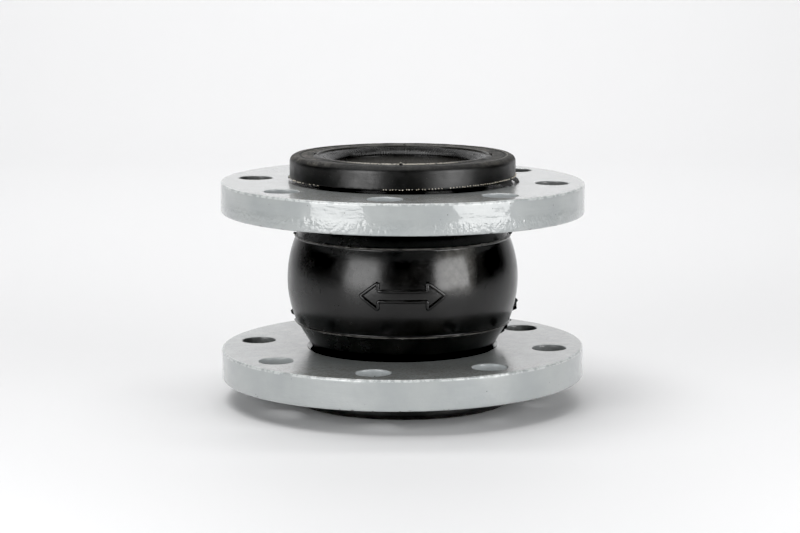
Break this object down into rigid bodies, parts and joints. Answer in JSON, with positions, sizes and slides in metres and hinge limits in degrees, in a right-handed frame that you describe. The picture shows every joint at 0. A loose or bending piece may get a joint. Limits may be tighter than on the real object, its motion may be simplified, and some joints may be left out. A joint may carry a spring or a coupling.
{
  "type": "rubber expansion joint",
  "caption": "Single-sphere rubber expansion joint: a moulded rubber bellows with wire-beaded sealing ends and two floating drilled steel flanges.",
  "frame": {"origin": "centre of the lower sealing face, on the pipe axis", "axes": "+Z along the pipe axis, from the lower end to the upper end; X and Y across the pipe, with the moulded mark facing -Y"},
  "size_m": [0.1952, 0.195, 0.133],
  "materials": {
    "flange_paint": "light grey gloss paint with slight orange peel, small chips at the edges",
    "cover_rubber": "black moulded rubber, semi-gloss on the bulge",
    "face_rubber": "black rubber, dusty matt on the flat sealing face",
    "liner_rubber": "dark grey rubber lining with a fine cloth-marked texture",
    "filler_rubber": "hard black rubber",
    "cord_fabric": "off-white rubberised nylon cord",
    "bead_steel": "drawn high-tensile steel wire"
  },
  "bodies": {
    "lower_end": {"lower_face_ring": "face_rubber", "lower_toe_filler": "filler_rubber", "lower_heel_filler": "filler_rubber", "lower_bead_wrap": "cord_fabric", "lower_bead_wire": "bead_steel", "lower_chafer_strip": "cover_rubber"},
    "inner_carcass": {"inner_tube": "liner_rubber", "cord_ply_1": "cord_fabric", "cord_ply_2": "cord_fabric"},
    "outer_carcass": {"cord_ply_3": "cord_fabric", "cord_ply_4": "cord_fabric", "outer_cover": "cover_rubber"},
    "upper_end": {"upper_face_ring": "face_rubber", "upper_toe_filler": "filler_rubber", "upper_heel_filler": "filler_rubber", "upper_bead_wrap": "cord_fabric", "upper_bead_wire": "bead_steel", "upper_chafer_strip": "cover_rubber"},
    "lower_flange": {"lower_flange": "flange_paint"},
    "upper_flange": {"upper_flange": "flange_paint"}
  },
  "joints": [
    {"name": "lower_shoulder_bend", "type": "hinge", "parent": "lower_end", "child": "inner_carcass", "pos_m": [0, 0, 0.036], "axis": [0, 1, 0], "range_deg": [-7.5, 7.5], "stiffness_Nm_per_rad": 350, "deforming": ["inner_tube", "cord_ply_1", "cord_ply_2"]},
    {"name": "bellows_axial", "type": "slide", "parent": "inner_carcass", "child": "outer_carcass", "axis": [0, 0, 1], "range_m": [-0.015, 0.008], "stiffness_N_per_m": 60000, "deforming": ["cord_ply_3", "cord_ply_4", "outer_cover"]},
    {"name": "upper_shoulder_bend", "type": "hinge", "parent": "outer_carcass", "child": "upper_end", "pos_m": [0, 0, 0.097], "axis": [0, 1, 0], "range_deg": [-7.5, 7.5], "stiffness_Nm_per_rad": 350},
    {"name": "lower_flange_spin", "type": "hinge", "parent": "lower_end", "child": "lower_flange", "pos_m": [-0.00007, 0, 0.0212], "axis": [-0.0087, 0, 1], "continuous": true},
    {"name": "upper_flange_spin", "type": "hinge", "parent": "upper_end", "child": "upper_flange", "pos_m": [0.00003, 0, 0.11045], "axis": [0.0041, 0, 1], "continuous": true}
  ]
}
